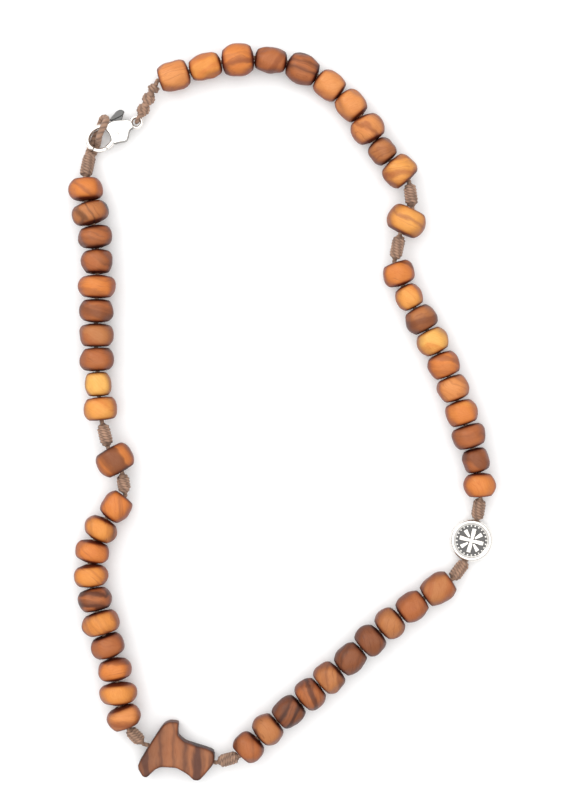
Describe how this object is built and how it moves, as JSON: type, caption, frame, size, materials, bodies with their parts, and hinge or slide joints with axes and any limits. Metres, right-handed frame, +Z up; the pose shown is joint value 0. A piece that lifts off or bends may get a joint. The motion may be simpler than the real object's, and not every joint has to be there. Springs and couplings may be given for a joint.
{
  "type": "rosary",
  "caption": "Wooden rosary laid flat in a loop: beads in groups on a knotted cord, two larger beads, a round metal medal, a Tau cross and a lobster clasp.",
  "frame": {"origin": "middle of the bounding box, on the surface the rosary lies on", "axes": "+Z up from the surface, +Y from the Tau cross towards the clasp end of the loop"},
  "size_m": [0.0996, 0.1716, 0.0093],
  "materials": {
    "wood_light": "satin oiled olive wood, light",
    "wood_mid": "satin oiled olive wood",
    "wood_dark": "satin oiled olive wood, dark heartwood",
    "wood_tau": "satin oiled olive wood, straight grain",
    "cord": "waxed braided cord",
    "silver": "polished silver plate",
    "silver_dark": "darkened steel"
  },
  "bodies": {
    "tau_cross": {"tau_cross": "wood_tau", "cord": "cord"},
    "ave_bead_4_01": {"ave_bead_4_01": "wood_mid"},
    "ave_bead_4_02": {"ave_bead_4_02": "wood_light"},
    "ave_bead_4_03": {"ave_bead_4_03": "wood_mid"},
    "ave_bead_4_04": {"ave_bead_4_04": "wood_mid"},
    "ave_bead_4_05": {"ave_bead_4_05": "wood_mid"},
    "ave_bead_4_06": {"ave_bead_4_06": "wood_dark"},
    "ave_bead_4_07": {"ave_bead_4_07": "wood_light"},
    "ave_bead_4_08": {"ave_bead_4_08": "wood_dark"},
    "ave_bead_4_09": {"ave_bead_4_09": "wood_mid"},
    "ave_bead_4_10": {"ave_bead_4_10": "wood_mid"},
    "pater_bead_2": {"pater_bead_2": "wood_mid"},
    "ave_bead_5_01": {"ave_bead_5_01": "wood_light"},
    "ave_bead_5_02": {"ave_bead_5_02": "wood_light"},
    "ave_bead_5_03": {"ave_bead_5_03": "wood_dark"},
    "ave_bead_5_04": {"ave_bead_5_04": "wood_mid"},
    "ave_bead_5_05": {"ave_bead_5_05": "wood_dark"},
    "ave_bead_5_06": {"ave_bead_5_06": "wood_mid"},
    "ave_bead_5_07": {"ave_bead_5_07": "wood_dark"},
    "ave_bead_5_08": {"ave_bead_5_08": "wood_mid"},
    "ave_bead_5_09": {"ave_bead_5_09": "wood_dark"},
    "ave_bead_5_10": {"ave_bead_5_10": "wood_light"},
    "ave_bead_3_10": {"ave_bead_3_10": "wood_mid"},
    "ave_bead_3_09": {"ave_bead_3_09": "wood_mid"},
    "ave_bead_3_08": {"ave_bead_3_08": "wood_dark"},
    "ave_bead_3_07": {"ave_bead_3_07": "wood_dark"},
    "ave_bead_3_06": {"ave_bead_3_06": "wood_light"},
    "ave_bead_3_05": {"ave_bead_3_05": "wood_dark"},
    "ave_bead_3_04": {"ave_bead_3_04": "wood_dark"},
    "ave_bead_3_03": {"ave_bead_3_03": "wood_mid"},
    "ave_bead_3_02": {"ave_bead_3_02": "wood_mid"},
    "ave_bead_3_01": {"ave_bead_3_01": "wood_mid"},
    "medal": {"medal": "silver"},
    "ave_bead_2_10": {"ave_bead_2_10": "wood_light"},
    "ave_bead_2_09": {"ave_bead_2_09": "wood_dark"},
    "ave_bead_2_08": {"ave_bead_2_08": "wood_dark"},
    "ave_bead_2_07": {"ave_bead_2_07": "wood_light"},
    "ave_bead_2_06": {"ave_bead_2_06": "wood_mid"},
    "ave_bead_2_05": {"ave_bead_2_05": "wood_mid"},
    "ave_bead_2_04": {"ave_bead_2_04": "wood_light"},
    "ave_bead_2_03": {"ave_bead_2_03": "wood_mid"},
    "ave_bead_2_02": {"ave_bead_2_02": "wood_light"},
    "ave_bead_2_01": {"ave_bead_2_01": "wood_light"},
    "pater_bead_1": {"pater_bead_1": "wood_light"},
    "ave_bead_1_10": {"ave_bead_1_10": "wood_mid"},
    "ave_bead_1_09": {"ave_bead_1_09": "wood_mid"},
    "ave_bead_1_08": {"ave_bead_1_08": "wood_mid"},
    "ave_bead_1_07": {"ave_bead_1_07": "wood_light"},
    "ave_bead_1_06": {"ave_bead_1_06": "wood_light"},
    "ave_bead_1_05": {"ave_bead_1_05": "wood_dark"},
    "ave_bead_1_04": {"ave_bead_1_04": "wood_mid"},
    "ave_bead_1_03": {"ave_bead_1_03": "wood_mid"},
    "ave_bead_1_02": {"ave_bead_1_02": "wood_light"},
    "ave_bead_1_01": {"ave_bead_1_01": "wood_mid"},
    "clasp": {"clasp_body": "silver", "clasp_pin": "silver", "clasp_spring": "silver_dark"},
    "clasp_lever": {"clasp_lever": "silver_dark"}
  },
  "joints": [
    {"name": "cord_bend_left_01", "type": "hinge", "parent": "tau_cross", "child": "ave_bead_4_01", "pos_m": [-0.03587, -0.07354, 0.00415], "axis": [0, 0, 1], "range_deg": [0, 22], "deforming": ["cord"]},
    {"name": "cord_bend_left_02", "type": "hinge", "parent": "ave_bead_4_01", "child": "ave_bead_4_02", "pos_m": [-0.03781, -0.06828, 0.00455], "axis": [0, 0, 1], "range_deg": [0, 8]},
    {"name": "cord_lift_left_03", "type": "hinge", "parent": "ave_bead_4_02", "child": "ave_bead_4_03", "pos_m": [-0.03833, -0.06265, 0.00455], "axis": [0.9883, 0.1523, 0], "range_deg": [-9, 0]},
    {"name": "cord_lift_left_04", "type": "hinge", "parent": "ave_bead_4_03", "child": "ave_bead_4_04", "pos_m": [-0.03953, -0.05714, 0.00415], "axis": [-0.962, -0.2731, 0], "range_deg": [-6, 0]},
    {"name": "cord_bend_left_05", "type": "hinge", "parent": "ave_bead_4_04", "child": "ave_bead_4_05", "pos_m": [-0.04141, -0.05181, 0.00455], "axis": [0, 0, 1], "range_deg": [0, 6]},
    {"name": "cord_lift_left_06", "type": "hinge", "parent": "ave_bead_4_05", "child": "ave_bead_4_06", "pos_m": [-0.04295, -0.04638, 0.00455], "axis": [-0.9679, -0.2513, 0], "range_deg": [-10, 0]},
    {"name": "cord_bend_left_07", "type": "hinge", "parent": "ave_bead_4_06", "child": "ave_bead_4_07", "pos_m": [-0.04425, -0.04088, 0.00415], "axis": [0, 0, 1], "range_deg": [0, 8]},
    {"name": "cord_bend_left_08", "type": "hinge", "parent": "ave_bead_4_07", "child": "ave_bead_4_08", "pos_m": [-0.04478, -0.03527, 0.00415], "axis": [0, 0, 1], "range_deg": [0, 18]},
    {"name": "cord_bend_left_09", "type": "hinge", "parent": "ave_bead_4_08", "child": "ave_bead_4_09", "pos_m": [-0.04357, -0.02978, 0.00415], "axis": [0, 0, 1], "range_deg": [0, 15]},
    {"name": "cord_bend_left_10", "type": "hinge", "parent": "ave_bead_4_09", "child": "ave_bead_4_10", "pos_m": [-0.04094, -0.0248, 0.00415], "axis": [0, 0, 1], "range_deg": [0, 12]},
    {"name": "cord_bend_left_11", "type": "hinge", "parent": "ave_bead_4_10", "child": "pater_bead_2", "pos_m": [-0.03652, -0.01946, 0.0036], "axis": [0, 0, 1], "range_deg": [0, 5]},
    {"name": "cord_lift_left_12", "type": "hinge", "parent": "pater_bead_2", "child": "ave_bead_5_01", "pos_m": [-0.042, -0.00211, 0.00415], "axis": [0.9853, 0.1708, 0], "range_deg": [-7, 7]},
    {"name": "cord_bend_left_13", "type": "hinge", "parent": "ave_bead_5_01", "child": "ave_bead_5_02", "pos_m": [-0.04258, 0.00351, 0.00415], "axis": [0, 0, 1], "range_deg": [0, 5]},
    {"name": "cord_lift_left_14", "type": "hinge", "parent": "ave_bead_5_02", "child": "ave_bead_5_03", "pos_m": [-0.04295, 0.00935, 0.00415], "axis": [0.9984, 0.0563, 0], "range_deg": [-7, 7]},
    {"name": "cord_bend_left_15", "type": "hinge", "parent": "ave_bead_5_03", "child": "ave_bead_5_04", "pos_m": [-0.04323, 0.01499, 0.00415], "axis": [0, 0, 1], "range_deg": [0, 5]},
    {"name": "cord_lift_left_16", "type": "hinge", "parent": "ave_bead_5_04", "child": "ave_bead_5_05", "pos_m": [-0.04325, 0.02064, 0.00415], "axis": [-0.9999, 0.0105, 0], "range_deg": [-7, 7]},
    {"name": "cord_bend_left_17", "type": "hinge", "parent": "ave_bead_5_05", "child": "ave_bead_5_06", "pos_m": [-0.04311, 0.02629, 0.00455], "axis": [0, 0, 1], "range_deg": [0, 5]},
    {"name": "cord_lift_left_18", "type": "hinge", "parent": "ave_bead_5_06", "child": "ave_bead_5_07", "pos_m": [-0.04298, 0.03194, 0.00455], "axis": [-1, 0.0034, 0], "range_deg": [-7, 7]},
    {"name": "cord_bend_left_19", "type": "hinge", "parent": "ave_bead_5_07", "child": "ave_bead_5_08", "pos_m": [-0.04308, 0.03789, 0.00415], "axis": [0, 0, 1], "range_deg": [0, 5]},
    {"name": "cord_lift_left_20", "type": "hinge", "parent": "ave_bead_5_08", "child": "ave_bead_5_09", "pos_m": [-0.04389, 0.04347, 0.00455], "axis": [0.977, 0.2133, 0], "range_deg": [-7, 7]},
    {"name": "cord_bend_left_21", "type": "hinge", "parent": "ave_bead_5_09", "child": "ave_bead_5_10", "pos_m": [-0.04548, 0.04889, 0.00455], "axis": [0, 0, 1], "range_deg": [0, 12]},
    {"name": "cord_bend_right_01", "type": "hinge", "parent": "tau_cross", "child": "ave_bead_3_10", "pos_m": [-0.0099, -0.08005, 0.0039], "axis": [0, 0, -1], "range_deg": [0, 21]},
    {"name": "cord_lift_right_02", "type": "hinge", "parent": "ave_bead_3_10", "child": "ave_bead_3_09", "pos_m": [-0.0057, -0.07585, 0.0039], "axis": [0.6764, -0.7365, 0], "range_deg": [-10, 0]},
    {"name": "cord_bend_right_03", "type": "hinge", "parent": "ave_bead_3_09", "child": "ave_bead_3_08", "pos_m": [-0.00115, -0.07201, 0.0039], "axis": [0, 0, -1], "range_deg": [0, 5]},
    {"name": "cord_lift_right_04", "type": "hinge", "parent": "ave_bead_3_08", "child": "ave_bead_3_07", "pos_m": [0.0042, -0.06758, 0.0039], "axis": [-0.6418, 0.7669, 0], "range_deg": [-10, 0]},
    {"name": "cord_bend_right_05", "type": "hinge", "parent": "ave_bead_3_07", "child": "ave_bead_3_06", "pos_m": [0.00875, -0.06374, 0.0039], "axis": [0, 0, -1], "range_deg": [0, 5]},
    {"name": "cord_lift_right_06", "type": "hinge", "parent": "ave_bead_3_06", "child": "ave_bead_3_05", "pos_m": [0.0132, -0.05979, 0.0039], "axis": [-0.6686, 0.7436, 0], "range_deg": [-10, 0]},
    {"name": "cord_bend_right_07", "type": "hinge", "parent": "ave_bead_3_05", "child": "ave_bead_3_04", "pos_m": [0.01834, -0.05511, 0.0039], "axis": [0, 0, -1], "range_deg": [0, 5]},
    {"name": "cord_lift_right_08", "type": "hinge", "parent": "ave_bead_3_04", "child": "ave_bead_3_03", "pos_m": [0.02276, -0.05114, 0.0039], "axis": [0.6537, -0.7568, 0], "range_deg": [-10, 0]},
    {"name": "cord_bend_right_09", "type": "hinge", "parent": "ave_bead_3_03", "child": "ave_bead_3_02", "pos_m": [0.02734, -0.04733, 0.0039], "axis": [0, 0, -1], "range_deg": [0, 5]},
    {"name": "cord_lift_right_10", "type": "hinge", "parent": "ave_bead_3_02", "child": "ave_bead_3_01", "pos_m": [0.03304, -0.04336, 0.00365], "axis": [0.565, -0.8251, 0], "range_deg": [-10, 0]},
    {"name": "cord_bend_right_11", "type": "hinge", "parent": "ave_bead_3_01", "child": "medal", "pos_m": [0.03947, -0.03904, 0.00365], "axis": [0, 0, -1], "range_deg": [0, 27]},
    {"name": "cord_lift_right_12", "type": "hinge", "parent": "medal", "child": "ave_bead_2_10", "pos_m": [0.0461, -0.02005, 0.0039], "axis": [-0.9995, 0.0308, 0], "range_deg": [-3, 3]},
    {"name": "cord_bend_right_13", "type": "hinge", "parent": "ave_bead_2_10", "child": "ave_bead_2_09", "pos_m": [0.04576, -0.01413, 0.0039], "axis": [0, 0, -1], "range_deg": [0, 14]},
    {"name": "cord_lift_right_14", "type": "hinge", "parent": "ave_bead_2_09", "child": "ave_bead_2_08", "pos_m": [0.04429, -0.00847, 0.00415], "axis": [-0.9615, -0.2748, 0], "range_deg": [-7, 7]},
    {"name": "cord_bend_right_15", "type": "hinge", "parent": "ave_bead_2_08", "child": "ave_bead_2_07", "pos_m": [0.04261, -0.00308, 0.00415], "axis": [0, 0, -1], "range_deg": [0, 5]},
    {"name": "cord_lift_right_16", "type": "hinge", "parent": "ave_bead_2_07", "child": "ave_bead_2_06", "pos_m": [0.04075, 0.00257, 0.0039], "axis": [0.9444, 0.3288, 0], "range_deg": [-7, 7]},
    {"name": "cord_bend_right_17", "type": "hinge", "parent": "ave_bead_2_06", "child": "ave_bead_2_05", "pos_m": [0.0387, 0.00816, 0.0039], "axis": [0, 0, -1], "range_deg": [0, 7]},
    {"name": "cord_lift_right_18", "type": "hinge", "parent": "ave_bead_2_05", "child": "ave_bead_2_04", "pos_m": [0.03642, 0.01365, 0.0039], "axis": [0.9082, 0.4186, 0], "range_deg": [-7, 7]},
    {"name": "cord_bend_right_19", "type": "hinge", "parent": "ave_bead_2_04", "child": "ave_bead_2_03", "pos_m": [0.03372, 0.01895, 0.0039], "axis": [0, 0, -1], "range_deg": [0, 5]},
    {"name": "cord_lift_right_20", "type": "hinge", "parent": "ave_bead_2_03", "child": "ave_bead_2_02", "pos_m": [0.0308, 0.02414, 0.0039], "axis": [-0.877, -0.4805, 0], "range_deg": [-7, 7]},
    {"name": "cord_bend_right_21", "type": "hinge", "parent": "ave_bead_2_02", "child": "ave_bead_2_01", "pos_m": [0.02805, 0.0293, 0.0039], "axis": [0, 0, -1], "range_deg": [0, 5]},
    {"name": "cord_lift_right_22", "type": "hinge", "parent": "ave_bead_2_01", "child": "pater_bead_1", "pos_m": [0.02607, 0.0349, 0.0039], "axis": [-0.9975, -0.0709, 0], "range_deg": [-6, 6]},
    {"name": "cord_bend_right_23", "type": "hinge", "parent": "pater_bead_1", "child": "ave_bead_1_10", "pos_m": [0.02946, 0.05362, 0.00415], "axis": [0, 0, -1], "range_deg": [0, 28]},
    {"name": "cord_lift_right_24", "type": "hinge", "parent": "ave_bead_1_10", "child": "ave_bead_1_09", "pos_m": [0.02504, 0.05842, 0.00415], "axis": [0.7538, 0.6571, 0], "range_deg": [-7, 7]},
    {"name": "cord_bend_right_25", "type": "hinge", "parent": "ave_bead_1_09", "child": "ave_bead_1_08", "pos_m": [0.02135, 0.06289, 0.00415], "axis": [0, 0, -1], "range_deg": [0, 3]},
    {"name": "cord_bend_right_26", "type": "hinge", "parent": "ave_bead_1_08", "child": "ave_bead_1_07", "pos_m": [0.01828, 0.06867, 0.00415], "axis": [0, 0, -1], "range_deg": [0, 13]},
    {"name": "cord_bend_right_27", "type": "hinge", "parent": "ave_bead_1_07", "child": "ave_bead_1_06", "pos_m": [0.0137, 0.07387, 0.0036], "axis": [0, 0, -1], "range_deg": [0, 11]},
    {"name": "cord_bend_right_28", "type": "hinge", "parent": "ave_bead_1_06", "child": "ave_bead_1_05", "pos_m": [0.0082, 0.0781, 0.00365], "axis": [0, 0, -1], "range_deg": [0, 13]},
    {"name": "cord_bend_right_29", "type": "hinge", "parent": "ave_bead_1_05", "child": "ave_bead_1_04", "pos_m": [0.00115, 0.0813, 0.00365], "axis": [0, 0, -1], "range_deg": [0, 17]},
    {"name": "cord_bend_right_30", "type": "hinge", "parent": "ave_bead_1_04", "child": "ave_bead_1_03", "pos_m": [-0.00648, 0.0823, 0.004], "axis": [0, 0, -1], "range_deg": [0, 23]},
    {"name": "cord_lift_right_31", "type": "hinge", "parent": "ave_bead_1_03", "child": "ave_bead_1_02", "pos_m": [-0.01416, 0.0813, 0.004], "axis": [-0.1986, 0.9801, 0], "range_deg": [-7, 7]},
    {"name": "cord_lift_right_32", "type": "hinge", "parent": "ave_bead_1_02", "child": "ave_bead_1_01", "pos_m": [-0.02162, 0.07923, 0.00365], "axis": [0.2742, -0.9617, 0], "range_deg": [-7, 7]},
    {"name": "cord_bend_right_33", "type": "hinge", "parent": "ave_bead_1_01", "child": "clasp", "pos_m": [-0.02905, 0.07705, 0.00365], "axis": [0, 0, -1], "range_deg": [0, 28]},
    {"name": "clasp_lever_pivot", "type": "hinge", "parent": "clasp", "child": "clasp_lever", "pos_m": [-0.03849, 0.06475, 0.0023], "axis": [0, 0, -1], "range_deg": [0, 20], "stiffness_Nm_per_rad": 0.001, "springref_deg": -5.73}
  ]
}
